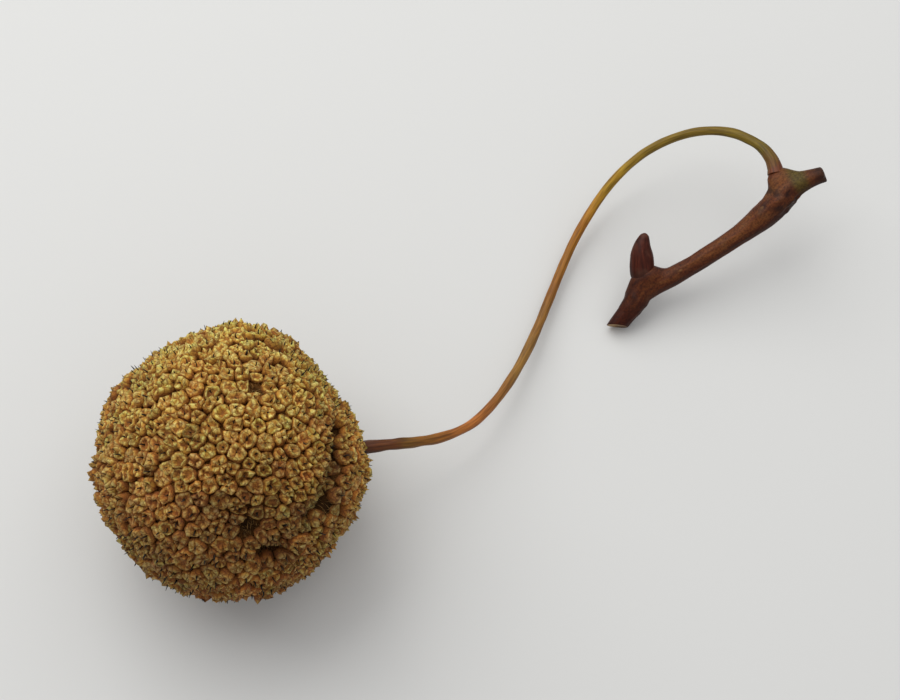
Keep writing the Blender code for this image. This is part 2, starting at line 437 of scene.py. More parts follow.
@dataclass(frozen=True)
class StalkFinish:
    """Dried stalk rind: thin fibrous bark with fine lengthwise streaks, whose colour changes on its way."""

    # The colour at shares of the length, from the ball to the twig
    stops: tuple[tuple[float, str], ...] = (
        (0.000, "#48200C"), (0.050, "#663610"), (0.080, "#6E4A12"), (0.120, "#88561A"), (0.170, "#9A5E22"),
        (0.205, "#B06A2C"), (0.265, "#905A22"), (0.330, "#936A2B"), (0.390, "#92682A"), (0.440, "#8D6023"),
        (0.490, "#8A5618"), (0.550, "#9D671B"), (0.605, "#A5691B"), (0.650, "#B07E1F"), (0.700, "#A68321"),
        (0.770, "#80661A"), (0.840, "#7B6216"), (0.910, "#7A6415"), (0.955, "#6B5A14"), (0.980, "#6C4A16"),
        (0.995, "#6E3A1E"),
    )
    streak_width: float = 0.2 * MM
    streak_length: float = 2.6 * MM
    patch: float = 4 * MM
    patch_shift: float = 0.12

    def make(self) -> bpy.types.Material:
        """Builds the material, which reads the share of the length and the place laid out straight."""
        nodes = Shading("dried stalk rind")
        straight = nodes.read("straight", "Vector")
        streaks = nodes.noise(nodes.stretch(straight, self.streak_width, self.streak_length), 1.0, 3.0)
        # Patches shift the colours a little up and down the stalk, so that their borders are uneven
        shifted = nodes.sum(nodes.noise(straight, self.patch, 2.0), self.patch_shift, nodes.read("along"))
        middle = self.patch_shift / 2
        colour = nodes.ramp(nodes.span(shifted, middle, 1 + middle), *self.stops)
        colour = nodes.darken(0.8, colour, nodes.ramp(streaks, (0.3, "#8E8478"), (0.68, "#FFFFFF")))
        return nodes.surface(colour, 0.5, 0.25, nodes.bump(streaks, 0.5, 0.05 * MM))


@dataclass(frozen=True)
class BarkFinish:
    """Young twig bark: thin and smooth with a faint waxy bloom, pale pores and darker, rougher scars."""

    deep: str = "#3A180A"
    main: str = "#5C2E14"
    warm: str = "#7C4C24"
    bloom: str = "#76603E"
    olive: str = "#54481C"
    pore: str = "#8A6238"
    shade: str = "#A07048"
    wood: str = "#A8885C"
    scar: str = "#1E0F0A"
    patch_width: float = 0.8 * MM
    patch_length: float = 4.5 * MM
    film: float = 3.0 * MM
    pore_spacing: float = 1.6 * MM
    grain: float = 0.25 * MM

    def make(self) -> bpy.types.Material:
        """Builds the twig's material.

        Returns:
            The material. It reads the straight place, the bare wood, the scars, the green at the stub and
            how old the bark is, with painted shade on the side that faces down.
        """
        nodes = Shading("young twig bark")
        straight = nodes.read("straight", "Vector")
        patches = nodes.noise(nodes.stretch(straight, self.patch_width, self.patch_length), 1.0, 3.0, 0.6)
        colour = nodes.ramp(patches, (0.28, self.deep), (0.48, self.main), (0.78, self.warm))
        # The waxy bloom is a thin grey film that comes and goes over a few millimetres
        film = nodes.span(nodes.noise(straight, self.film, 4.0, 0.7), 0.5, 0.8, end=0.32)
        colour = nodes.mix(film, colour, self.bloom)
        colour = nodes.mix(nodes.read("green"), colour, self.olive)
        # Pores are pale dots, longer than they are wide
        map_of_pores = nodes.stretch(straight, self.pore_spacing, self.pore_spacing / 0.6)
        pores = nodes.span(nodes.cells(map_of_pores, 1.0), 0.15, 0.08, end=0.55)
        colour = nodes.mix(pores, colour, self.pore)
        # The older end by the bud is darker than the shaft, and the side that faces down takes painted shade
        colour = nodes.darken(nodes.read("older_and_painted_shade"), colour, self.shade)
        grain = nodes.noise(straight, self.grain, 4.0, 0.7)
        colour = nodes.darken(0.8, colour, nodes.ramp(grain, (0.34, "#8E8072"), (0.6, "#FFFFFF")))
        wood = nodes.ramp(grain, (0.3, "#7A5A3A"), (0.62, self.wood))
        colour = nodes.mix(nodes.read("bare"), colour, wood)
        # Scars, the broken end and the pith in the middle of the cut have gone nearly black
        colour = nodes.mix(nodes.read("scar"), colour, self.scar)
        bump = nodes.bump(nodes.sum(pores, 0.8, grain), 0.4, 0.08 * MM)
        return nodes.surface(colour, nodes.span(patches, 0.0, 1.0, 0.38, 0.62), 0.14, bump)


@dataclass(frozen=True)
class BudFinish:
    """Winter bud scale: one leathery dark maroon cap, with a greyer bloom and fine ribs to its tip."""

    deep: str = "#2A0E07"
    main: str = "#471C10"
    ridge: str = "#5A2C1C"
    bloom: str = "#684838"
    foot: str = "#2C1208"
    streak_width: float = 0.35 * MM
    streak_length: float = 2.5 * MM
    film: float = 1.6 * MM

    def make(self) -> bpy.types.Material:
        """Builds the bud's material, which reads its straight place and the share of its length."""
        nodes = Shading("bud scale")
        straight = nodes.read("straight", "Vector")
        streaks = nodes.noise(nodes.stretch(straight, self.streak_width, self.streak_length), 1.0, 3.0)
        colour = nodes.ramp(streaks, (0.3, self.deep), (0.62, self.main), (0.8, self.ridge))
        film = nodes.span(nodes.noise(straight, self.film, 3.0), 0.48, 0.75, end=0.4)
        colour = nodes.mix(film, colour, self.bloom)
        colour = nodes.mix(nodes.span(nodes.read("along"), 0.22, 0.10, end=0.6), colour, self.foot)
        return nodes.surface(colour, 0.46, 0.14, nodes.bump(streaks, 0.4, 0.06 * MM))


@dataclass(frozen=True)
class PaperFinish:
    """Uncoated white paper under the object: matt, with a barely visible tooth."""

    colour: str = "#CCCCC9"
    tooth: float = 1.2 * MM

    def make(self) -> bpy.types.Material:
        """Builds the paper's material."""
        nodes = Shading("matt paper")
        bump = nodes.bump(nodes.noise(nodes.place(), self.tooth, 3.0), 0.1, 0.05 * MM)
        return nodes.surface(linear(self.colour), 0.9, 0.2, bump)


@dataclass(frozen=True)
class Spot:
    """A place on the ball: its degrees round from +X, and up from the ball's middle."""

    azimuth: float
    elevation: float

    def cosine(self, rays: Array) -> Array:
        """Gives the cosine of each ray's angle to the spot."""
        return rays @ bearing(self.azimuth, self.elevation)


@dataclass(frozen=True)
class Dent(Spot):
    """A hollow of the ball, with its half width in degrees and its depth."""

    half_width: float
    depth: float


@dataclass(frozen=True)
class Fold(Spot):
    """A fold of the ball, with the degrees over which its tips are gone, the degrees over which it takes
    painted shade, and how strong that painted shade is.
    """

    bare: float
    dark: float
    strength: float


def dip(cosine: Array, half_width: float) -> Array:
    """Gives a dent's share of its depth at an angle, given by its cosine: 1/e at the half width."""
    return np.exp((cosine - 1) / (1 - math.cos(math.radians(half_width))))


@dataclass(frozen=True)
class Strands:
    """Many tapering strands of one kind. Lengths, bends and radii are in millimetres, a lean is a slope."""

    name: str
    finish: FibreFinish
    lean: float
    length: tuple[float, float]
    bend: float
    radius: tuple[float, float]
    rings: int
    columns: int
    thinning: float = 0.8

    def shape(self, draw: Draw, rays: Array, roots: Array, bases: Array) -> tuple[Array, Array]:
        """Shapes the strands.

        A tip lies a random length from its base, along its ray plus a random lean. The middle line is
        root + t (tip - root) + 4 t (1 - t) bend, and the radius falls to a fifth as t goes from 0 to 1.

        Args:
            draw: the random draw.
            rays: which way each strand stands up.
            roots: where it starts.
            bases: where its free length starts.

        Returns:
            The points of each strand, and the share of its length at which each point lies.
        """
        count = len(rays)
        way = unit(rays + draw.normal(0, self.lean, rays.shape))
        tips = bases + way * draw.uniform(*self.length, (count, 1)) * MM
        bend = draw.normal(0, self.bend, rays.shape) * MM
        radius = draw.uniform(*self.radius, (count, 1, 1, 1)) * MM
        share = np.linspace(0, 1, self.rings)
        t = share[:, None]
        line = roots[:, None] + t * (tips - roots)[:, None] + 4 * t * (1 - t) * bend[:, None]
        ahead = unit(np.gradient(line, axis=1))
        side = unit(np.cross(ahead, OFF_AXIS))
        girth = radius * (1 - self.thinning * t[..., None] ** 1.5)
        ring = line[:, :, None] + girth * circle(turns(self.columns), side, np.cross(ahead, side))
        points = np.concatenate([ring.reshape(count, -1, 3), line[:, :1], line[:, -1:]], axis=1)
        return points, np.tile(np.concatenate([np.repeat(share, self.columns), [0.0, 1.0]]), count)


@dataclass
class SeedHead:
    """The ball: a hairy ground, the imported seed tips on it, their dry spikes and the loose hair."""

    floor_radius: float = 15.2 * MM
    centre_height: float = 15.1 * MM
    seed: int = 11
    # The tips: how tall they are, how many, and how far each is nudged as a share of their spacing
    tip_height: float = 0.85 * MM
    tip_height_spread: float = 0.12 * MM
    tip_count: int = 1150
    tip_jitter: float = 0.15
    # The spot that the ball rests on sticks out a little before it is pressed flat
    rest_bulge: float = 0.6 * MM
    rest_half_width: float = 14
    dents: tuple[Dent, ...] = (
        Dent(31, 11, 25, 1.9 * MM),
        Dent(-40, -13, 20, 1.1 * MM),
        Dent(-67, 25, 6, 1.9 * MM),
        Dent(-75, 42, 8, 1.1 * MM),
        Dent(54, 73, 6, 0.4 * MM),
        Dent(160, -20, 20, 0.4 * MM),
        Dent(200, 25, 9, 0.5 * MM),
    )
    # The crease runs straight between two places. Its widths are in degrees: in shape, in painted shade, and
    # bare
    crease_from: tuple[float, float] = (8, 30)
    crease_to: tuple[float, float] = (-42, 32)
    crease_half_width: float = 4.2
    crease_depth: float = 1.8 * MM
    crease_shade_width: float = 7.5
    crease_bare: float = 1.7
    folds: tuple[Fold, ...] = (
        Fold(-67, 25, 5.2, 8.0, 1.0),
        Fold(-75, 42, 4.6, 9.0, 0.9),
        Fold(-86, 44, 0.0, 12.0, 0.5),
        Fold(-32, 27, 3.4, 8.0, 0.9),
        Fold(49, 68, 2.4, 4.0, 0.8),
        Fold(158, 54, 0.0, 5.0, 0.35),
    )
    wave_height: float = 0.16 * MM
    wave_count: int = 6
    # How unevenly the tips push each other aside, how many neighbours count, and how sharp corners are
    strength_spread: float = 0.07
    neighbours: int = 9
    corner_power: int = 7
    sectors: int = 10
    # Rings of a tip from its sunk foot to its crater: share of the cell's width, share of the height,
    # painted shade
    tip_rings: Table = (
        (0.88, -0.45, 1.0),
        (1.08, 0.36, 0.75),
        (0.98, 0.78, 0.38),
        (0.76, 1.00, 0.0),
        (0.40, 0.64, 0.45),
    )
    # How ragged each ring is in width and in height, and what a pleat does to its width, height and painted
    # shade
    raggedness: Table = ((0.0, 0.0), (0.04, 0.08), (0.07, 0.14), (0.11, 0.17), (0.12, 0.16))
    pleat: Table = (
        (0.0, 0.0, 0.0), (0.04, 0.0, 0.0), (0.06, 0.06, 0.12), (0.05, 0.17, 0.28), (-0.28, 0.28, 0.34),
    )
    # How many pleats a tip can have, up to but not including the second number, and how deep they are
    pleat_counts: tuple[int, int] = (3, 6)
    pleat_strength: tuple[float, float] = (0.4, 1.3)
    # What varies from tip to tip: width, crater width, depth and painted shade, lean, rise of the rim, and
    # level
    tip_width: tuple[float, float] = (0.95, 1.05)
    crater_width: tuple[float, float] = (0.7, 1.35)
    crater_depth: tuple[float, float] = (0.15, 1.4)
    crater_painted_shade: float = 1.8
    tip_lean: float = 0.10
    rim_swing: tuple[float, float] = (0.20, 0.08)
    level: float = -0.04 * MM
    level_spread: float = 0.12 * MM
    # How far a tip's foot lies under the ground and its crater's middle under the last ring, by height
    foot_depth: float = 0.6
    crater_dip: float = 0.12
    # How tints gather in places, what chance adds, how two tints mix, and how far all are drawn together
    tint_drift: float = 0.9
    tint_chance: float = 0.8
    tint_mixing: tuple[float, float] = (0.25, 0.75)
    tint_likeness: float = 0.25
    # What lightens or darkens a tip: chance, an even share, painted light on the sides at +Y and +X, and
    # painted shade on the side at -Y and in the crease and folds
    light_spread: float = 0.08
    light_all: float = 0.06
    painted_light_top: float = 0.13
    painted_light_right: float = 0.28
    painted_shade_low: float = 0.36
    painted_shade_in_folds: float = 0.55
    light_range: tuple[float, float] = (0.55, 1.2)
    olive: float = 0.13
    # How deep the ground lies between the tips, and the height of its matted hair
    ground_depth: float = 0.12 * MM
    ground_matting: float = 0.08 * MM
    spike_share: float = 0.8
    spikes: Strands = Strands(
        "seed_spikes", FibreFinish("dry seed spike", "#2A1C0C", "#1A140C", 0.6),
        lean=0.35, length=(0.2, 0.62), bend=0.10, radius=(0.09, 0.16), rings=4, columns=4,
    )
    hair_count: int = 420
    # How far hair strays from the crease and from the places of the folds
    hair_strays: tuple[float, float] = (0.03, 0.055)
    hair: Strands = Strands(
        "seed_hair", FibreFinish("seed hair", "#3C2712", "#8C6A38", 0.7),
        lean=0.55, length=(0.7, 1.25), bend=0.14, radius=(0.025, 0.045), rings=5, columns=3,
    )

    def floor(self, rays: Array) -> Array:
        """Gives the ball's radius to the ground between the tips.

        The radius is a round ball's, less each dent and the crease, plus the bulge where it rests and slow
        waves.

        Args:
            rays: unit vectors from the ball's centre.

        Returns:
            A radius for each ray.
        """
        radius = np.full(rays.shape[:-1], self.floor_radius)
        for dent in self.dents:
            radius -= dent.depth * dip(dent.cosine(rays), dent.half_width)
        radius -= self.crease_depth * dip(self.crease_cosine(rays), self.crease_half_width)
        radius += self.rest_bulge * dip(-rays[..., 2], self.rest_half_width)
        draw = np.random.default_rng(self.seed)
        for _ in range(self.wave_count):
            axis = unit(draw.normal(size=3))
            radius += self.wave_height * np.sin(draw.uniform(4, 9) * (rays @ axis) + draw.uniform(0, 6))
        return radius

    def crease_cosine(self, rays: Array) -> Array:
        """Gives the cosine of each ray's angle to the nearest point of the crease."""
        start, end = bearing(*self.crease_from), bearing(*self.crease_to)
        along = np.clip((rays - start) @ (end - start) / ((end - start) @ (end - start)), 0, 1)
        return (rays * unit(start + along[..., None] * (end - start))).sum(axis=-1)

    def painted_fold_shade(self, rays: Array) -> Array:
        """Tells how much painted shade each ray takes for lying deep in the crease or a fold, from 0 outside
        to about 1 inside.
        """
        share = dip(self.crease_cosine(rays), self.crease_shade_width)
        for fold in self.folds:
            share = np.maximum(share, fold.strength * dip(fold.cosine(rays), fold.dark))
        return share

    def bare(self, rays: Array) -> Array:
        """Tells which rays point where the tips have gone."""
        gone = self.crease_cosine(rays) > math.cos(math.radians(self.crease_bare))
        for fold in self.folds:
            gone |= fold.cosine(rays) > math.cos(math.radians(fold.bare))
        return gone

    def settle(self, points: Array) -> Array:
        """Moves points from round the ball's centre to their place, pressed flat where the ball rests."""
        points = points + [0, 0, self.centre_height]
        points[..., 2] = np.maximum(points[..., 2], 0.0)
        return points

    def packed_rays(self) -> Array:
        """Spreads the tips over the ball.

        Tip number n stands at a height that falls evenly from 1 to -1 and turns by the golden angle from the
        last, and each is nudged at random by a share of the spacing.

        Returns:
            One unit vector for each tip.
        """
        draw = np.random.default_rng(self.seed)
        step = np.arange(self.tip_count) + 0.5
        height = 1 - 2 * step / self.tip_count
        turn = step * math.pi * (3 - math.sqrt(5))
        ring = np.sqrt(1 - height**2)
        rays = np.stack([ring * np.cos(turn), ring * np.sin(turn), height], axis=1)
        spacing = math.sqrt(4 * math.pi / self.tip_count)
        return unit(rays + draw.normal(0, self.tip_jitter * spacing, rays.shape))

    def cells(self, rays: Array) -> tuple[Array, Array, Array]:
        """Works out the cell that each tip fills among its neighbours.

        The cell's half width towards an angle is where the border lines to the nearest neighbours cut that
        way, blended by a power mean so that its corners are round. A stronger tip takes more room.

        Args:
            rays: the tips' unit vectors.

        Returns:
            The half widths for each tip and sector, and the two directions that span each tip's own plane.
        """
        side = unit(np.cross(UPWARDS, rays))
        ahead = np.cross(rays, side)
        cosines = rays @ rays.T
        np.fill_diagonal(cosines, -2)
        near = np.argpartition(-cosines, self.neighbours, axis=1)[:, : self.neighbours]
        offset = rays[near] - rays[:, None]
        right = (offset * side[:, None]).sum(axis=-1)
        up = (offset * ahead[:, None]).sum(axis=-1)
        strength = np.random.default_rng(self.seed + 6).normal(0, self.strength_spread, len(rays))
        half = np.hypot(right, up) / 2 * np.clip(1 + strength[:, None] - strength[near], 0.6, 1.4)
        facing = np.cos(turns(self.sectors)[:, None] - np.arctan2(up, right)[:, None, :])
        cuts = (np.maximum(facing, 0) / half[:, None, :]) ** self.corner_power
        return cuts.sum(axis=-1) ** (-1 / self.corner_power), side, ahead

    def tints(self, rays: Array) -> Array:
        """Draws each tip's colour, with more orange on the left, more straw on top and more plum below,
        painted light on the +Y and +X sides, and painted shade on the -Y side and in the crease and folds.

        Args:
            rays: the tips' unit vectors.

        Returns:
            A linear colour for each tip.
        """
        draw = np.random.default_rng(self.seed + 5)
        x, y, z = rays.T
        names = list(Tint)
        drift = [ripples(rays, 0.8, self.seed + 20 + number) for number in range(len(names))]
        chance = np.log([tint.value[1] for tint in names]) + self.tint_drift * np.stack(drift, axis=1)
        chance += draw.gumbel(0, self.tint_chance, chance.shape)
        chance[:, names.index(Tint.ORANGE)] += np.clip(-x, 0, 1)
        chance[:, names.index(Tint.STRAW)] += np.clip(y + 0.6 * z, 0, 1)
        chance[:, names.index(Tint.PLUM)] += np.clip(-y - 0.4, 0, 1)
        # Each tip mixes its likeliest colour with the next, and all are drawn a little way together
        palette = np.array([linear(tint.value[0]) for tint in names])
        second, first = palette[np.argsort(chance, axis=1)[:, -2:]].swapaxes(0, 1)
        mixed = first + draw.uniform(*self.tint_mixing, (len(rays), 1)) * (second - first)
        mixed[:, :3] += self.tint_likeness * (mixed[:, :3].mean(axis=0) - mixed[:, :3])
        lightness = draw.normal(1.0, self.light_spread, len(rays))
        lightness += self.light_spread * ripples(rays, 0.5, self.seed + 40)
        # Painted light makes the tips at +Y and +X lighter, and painted shade darkens those at -Y and in the
        # crease and folds
        lightness += self.painted_light_top * np.clip(y + 0.3 * x, 0, 1) + self.light_all
        lightness += self.painted_light_right * np.clip(x - 0.35, 0, 1)
        lightness -= self.painted_shade_low * np.clip(0.15 - y, 0, 1) + self.painted_shade_in_folds * self.painted_fold_shade(rays)
        mixed[:, :3] *= np.clip(lightness, *self.light_range)[:, None]
        # The side at +Y ripened to olive, the other side to a redder tan
        olive = self.olive * y[:, None] - 0.01
        mixed[:, :3] *= 1 + olive * np.array([-0.6, 0.4, 0.0])
        return mixed

    def tip_mesh(self, rays: Array, heights: Array, whole: Array) -> bpy.types.Mesh:
        """Shapes the seed tips: each is a stack of rings in its cell, up to a rim and down into a crater.

        A ring's point is the tip's ray plus the cell's half width times the ring's share, turned to the
        sector, then set at the ring's share of the height. The rim rises and dips a little, and the tip
        leans. Three to five pleats run over the rim into the crater, as the husk has shrunk round its seed.

        Args:
            rays: the tips' unit vectors.
            heights: their heights over the ground.
            whole: which tips are still there. A lost one leaves its cell open.

        Returns:
            The mesh of all tips.
        """
        draw = np.random.default_rng(self.seed + 2)
        reach, side, ahead = (part[whole] for part in self.cells(rays))
        rays, heights = rays[whole], heights[whole]
        count, rings = len(rays), len(self.tip_rings)
        each = (count, 1)
        heights = heights + draw.normal(self.level, self.level_spread, count)
        widths, rises, painted_ring_shades = (np.tile(part, each) for part in np.array(self.tip_rings).T)
        sector = turns(self.sectors)
        widths[:, -1:] *= draw.uniform(*self.crater_width, each)
        widths[:, :-1] *= draw.uniform(*self.tip_width, each)
        deep = draw.uniform(*self.crater_depth, each)
        rises[:, -1:] = 1 - (1 - rises[:, -1:]) * deep
        painted_ring_shades[:, -1:] *= np.clip(deep, 0.3, 1.1)
        lean = draw.normal(0, self.tip_lean, (count, 2)) * reach.mean(axis=1, keepdims=True)
        swing = draw.uniform(0, 2 * math.pi, (count, 2))
        pleats = draw.integers(*self.pleat_counts, each) * sector - draw.uniform(0, 2 * math.pi, each)
        pleats = (np.cos(pleats) * draw.uniform(*self.pleat_strength, each))[:, None, :]
        pleat_width, pleat_rise, pleat_painted_shade = (part[:, None] * pleats for part in np.array(self.pleat).T)
        tilt, ruffle = self.rim_swing
        wobble = 1 + tilt * np.cos(sector - swing[:, :1]) + ruffle * np.cos(3 * sector - swing[:, 1:])
        uneven = np.array(self.raggedness).T[:, None, :, None]
        ragged = draw.normal(size=(2, count, rings, self.sectors)) * uneven
        spread = widths[:, :, None] * reach[:, None, :] * (1 + ragged[0] + pleat_width)
        above = np.clip(rises, 0, 1)[:, :, None]
        right = spread * np.cos(sector) + lean[:, 0, None, None] * above
        up = spread * np.sin(sector) + lean[:, 1, None, None] * above
        ring_rays = rays[:, None, None] + right[..., None] * side[:, None, None]
        ring_rays = unit(ring_rays + up[..., None] * ahead[:, None, None])
        swung = np.where(above > 0, wobble[:, None, :], 1.0)
        lift = heights[:, None, None] * (rises[:, :, None] * swung + ragged[1] + pleat_rise)
        ground = self.floor(rays)
        level = 0.5 * (ground[:, None, None] + self.floor(ring_rays)) + lift
        points = (ring_rays * level[..., None]).reshape(count, -1, 3)
        foot = rays * (ground - self.foot_depth * heights)[:, None]
        crater = rays * (ground + heights * (rises[:, -1] - self.crater_dip))[:, None]
        crater += (lean[:, :1] * side + lean[:, 1:] * ahead) * self.floor_radius
        stacks = self.settle(np.concatenate([points, foot[:, None], crater[:, None]], axis=1))
        # These values are painted shade: darkest at the sunk foot and the crater's middle, none on the rim,
        # and pleats ripple it
        painted_hollow_shade = np.clip(painted_ring_shades[:, :, None] - pleat_painted_shade, 0, 1).reshape(count, -1)
        painted_hollow_shade = np.concatenate([painted_hollow_shade, np.ones(each), painted_ring_shades[:, -1:] * self.crater_painted_shade], axis=1)
        tint = np.repeat(self.tints(rays), stacks.shape[1], axis=0)
        values = {"painted_hollow_shade": painted_hollow_shade.ravel(), "tint": tint}
        return make_mesh("seed_tips", stacks.reshape(-1, 3), stack_faces(rings, self.sectors, count), values)

    def ground_mesh(self, rings: int = 150, columns: int = 300) -> bpy.types.Mesh:
        """Shapes the ground between the tips: rings of latitude, sunk a little and matted."""
        rise = (np.linspace(-1, 1, rings + 2)[1:-1] * math.pi / 2)[:, None]
        turn = turns(columns)
        parts = np.broadcast_arrays(np.cos(rise) * np.cos(turn), np.cos(rise) * np.sin(turn), np.sin(rise))
        rays = np.concatenate([np.stack(parts, axis=-1).reshape(-1, 3), [[0.0, 0.0, -1.0], UPWARDS]])
        matted = self.ground_matting * ripples(rays, 0.05, self.seed + 60)
        points = self.settle(rays * (self.floor(rays) - self.ground_depth + matted)[:, None])
        return make_mesh("seed_ground", points, stack_faces(rings, columns), {"painted_fold_shade": self.painted_fold_shade(rays)})

    def strand_mesh(
        self, kind: Strands, draw: Draw, rays: Array, roots: Array, bases: Array
    ) -> bpy.types.Mesh:
        """Shapes strands of one kind round the ball's centre and moves them to their place."""
        points, along = kind.shape(draw, rays, roots, bases)
        faces = stack_faces(kind.rings, kind.columns, len(points))
        return make_mesh(kind.name, self.settle(points).reshape(-1, 3), faces, {"along": along})

    def spike_mesh(self, rays: Array, heights: Array) -> bpy.types.Mesh:
        """Shapes the dry spike that many tips keep: a short hooked thorn out of the crater."""
        draw = np.random.default_rng(self.seed + 3)
        kept = draw.uniform(size=len(rays)) < self.spike_share
        rays, heights = rays[kept], heights[kept]
        roots, bases = (rays * (self.floor(rays) + share * heights)[:, None] for share in (0.35, 1.0))
        return self.strand_mesh(self.spikes, draw, rays, roots, bases)

    def hair_mesh(self) -> bpy.types.Mesh:
        """Shapes the loose hair: fine strands in the dents and along the crease, and a few elsewhere."""
        draw = np.random.default_rng(self.seed + 4)
        start, end = bearing(*self.crease_from), bearing(*self.crease_to)
        part = self.hair_count // 3
        on_crease = start + draw.uniform(0, 1.1, (part, 1)) * (end - start)
        on_crease += draw.normal(0, self.hair_strays[0], (part, 3))
        spots = np.array([bearing(fold.azimuth, fold.elevation) for fold in self.folds if fold.bare > 0])
        in_dents = spots[draw.integers(0, len(spots), part)]
        in_dents += draw.normal(0, self.hair_strays[1], (part, 3))
        rays = unit(np.concatenate([on_crease, in_dents, draw.normal(size=(part, 3))]))
        roots = rays * (self.floor(rays) - 0.1 * MM)[:, None]
        return self.strand_mesh(self.hair, draw, rays, roots, roots)

    def build(self) -> list[bpy.types.Object]:
        """Makes the ball's pieces.

        Returns:
            The ground, the tips, the spikes and the hair.
        """
        rays = self.packed_rays()
        draw = np.random.default_rng(self.seed + 1)
        heights = self.tip_height + draw.normal(0, self.tip_height_spread, len(rays))
        whole = ~self.bare(rays)
        made = [
            (self.ground_mesh(), SeedGroundFinish()),
            (self.tip_mesh(rays, heights, whole), SeedTipFinish()),
            (self.spike_mesh(rays[whole], heights[whole]), self.spikes.finish),
            (self.hair_mesh(), self.hair.finish),
        ]
        return [add_piece(mesh, finish.make(), "seed_head") for mesh, finish in made]


@dataclass
class Stem:
    """A closed skin swept along a smooth line, which the stalk, the twig and the bud share."""

    points_mm: Table = ()
    # Shares of the length, and the radius in millimetres there
    radii_mm: Table = ()
    rings: int = 120
    columns: int = 48
    seed: int = 71

    def middle(self) -> tuple[Array, Array]:
        """Gives the middle line in metres, and the share of the length at which each point lies."""
        line, share = smooth_line(self.points_mm, self.rings)
        return line * MM, share

    def frame_of(self, line: Array) -> tuple[Array, Array, Array]:
        """Gives the directions along, beside and above, also where rings share a point of the line."""
        step = np.gradient(line, axis=0)
        good = np.nonzero(np.linalg.norm(step, axis=1) > 1e-9)[0]
        nearest = good[np.abs(np.arange(len(line))[:, None] - good[None]).argmin(axis=1)]
        ahead = unit(step[nearest])
        side = unit(np.cross(UPWARDS, ahead))
        return ahead, side, np.cross(ahead, side)

    def on_tube(self, share: Array, width: float, length: float) -> Array:
        """Lays the rings on a straight round tube of a width and length, as places for ripples."""
        turn = turns(self.columns)
        parts = np.broadcast_arrays(width * np.cos(turn), width * np.sin(turn), length * share[:, None])
        return np.stack(parts, axis=-1)

    def sweep(
        self, name: str, line: Array, radius: Array, push: Array, values: Mapping[str, Array]
    ) -> bpy.types.Mesh:
        """Carries rings along a line.

        A point is the line's point, plus the radius times cos(angle) beside and sin(angle) above, plus a
        push along the line. Its straight place is the same with the line laid along Z.

        Args:
            name: the mesh's name.
            line: the middle line.
            radius: the radius at each ring and column.
            push: the push along the line at each ring and column.
            values: more attributes, one number for each ring and column.

        Returns:
            The mesh.
        """
        ahead, side, lift = self.frame_of(line)
        turn = turns(self.columns)
        points = line[:, None] + radius[..., None] * circle(turn, side, lift)
        points += push[..., None] * ahead[:, None]
        points[..., 2] = np.maximum(points[..., 2], 0.02 * MM)
        length = np.concatenate([[0], np.cumsum(np.linalg.norm(np.diff(line, axis=0), axis=1))])
        straight = np.stack([radius * np.cos(turn), radius * np.sin(turn), length[:, None] + push], axis=-1)
        poles = [0, -1]
        every = np.concatenate([points.reshape(-1, 3), points[poles].mean(axis=1)])
        more = {"straight": np.concatenate([straight.reshape(-1, 3), straight[poles].mean(axis=1)])}
        for label, value in values.items():
            more[label] = np.concatenate([value.ravel(), value[poles].mean(axis=1)])
        return make_mesh(name, every, stack_faces(*radius.shape), more)


@dataclass
class Stalk(Stem):
    """The long thin stalk, faintly ribbed, shrunken and dark where it enters the ball."""

    points_mm: Table = (
        (13.3, 2.3, 12.6), (17.6, 3.3, 11.3), (21.2, 4.1, 9.9), (24.7, 5.4, 8.1), (27.9, 7.5, 6.3),
        (30.6, 10.6, 4.8), (32.9, 14.2, 3.6), (34.85, 18.0, 2.7), (36.5, 21.9, 2.0), (38.0, 25.8, 1.6),
        (39.5, 29.6, 1.6), (41.1, 33.2, 2.15), (43.0, 36.5, 3.1), (45.15, 39.45, 4.5), (47.6, 41.8, 6.2),
        (50.4, 43.6, 7.8), (53.7, 44.75, 9.3), (57.3, 45.2, 10.4), (61.0, 44.6, 11.1), (64.1, 42.7, 11.6),
        (65.5, 40.9, 11.7), (66.0, 39.5, 11.6), (66.1, 38.7, 11.5),
    )
    radii_mm: Table = (
        (0, 0.80), (0.08, 0.66), (0.20, 0.58), (0.50, 0.60), (0.80, 0.55), (0.94, 0.64), (1, 1.0),
    )
    rings: int = 420
    columns: int = 28
    ribs: int = 7
    shrunk_share: float = 0.16

    def build(self) -> bpy.types.Object:
        """Makes the stalk.

        The radius follows the given radii, times slow swellings, times ribs that turn slowly round the stalk
        and are deepest where it has shrunk, near the ball.

        Returns:
            The stalk's piece.
        """
        line, share = self.middle()
        at = share[:, None]
        turn = turns(self.columns)
        shrunk = hump(at, 0, self.shrunk_share)
        rib = np.cos(self.ribs * turn + 9 * at) + 0.6 * np.cos(3 * turn - 14 * at)
        slow = ripples(line, 5 * MM, self.seed)[:, None]
        fine = ripples(self.on_tube(share, 1, 60), 1.6, self.seed + 1)
        change = 1 + 0.04 * slow + (0.022 + 0.07 * shrunk) * rib + (0.02 + 0.05 * shrunk) * fine
        radius = MM * np.interp(at, *np.array(self.radii_mm).T) * change
        along = np.repeat(at, self.columns, axis=1)
        mesh = self.sweep("stalk_skin", line, radius, np.zeros_like(radius), {"along": along})
        return add_piece(mesh, StalkFinish().make(), "stalk")


@dataclass(frozen=True)
class Lobe:
    """A swelling on one side of the twig: the point it rises to, its length, spread round and power."""

    target_mm: tuple[float, float, float]
    length: float
    spread: float
    power: float


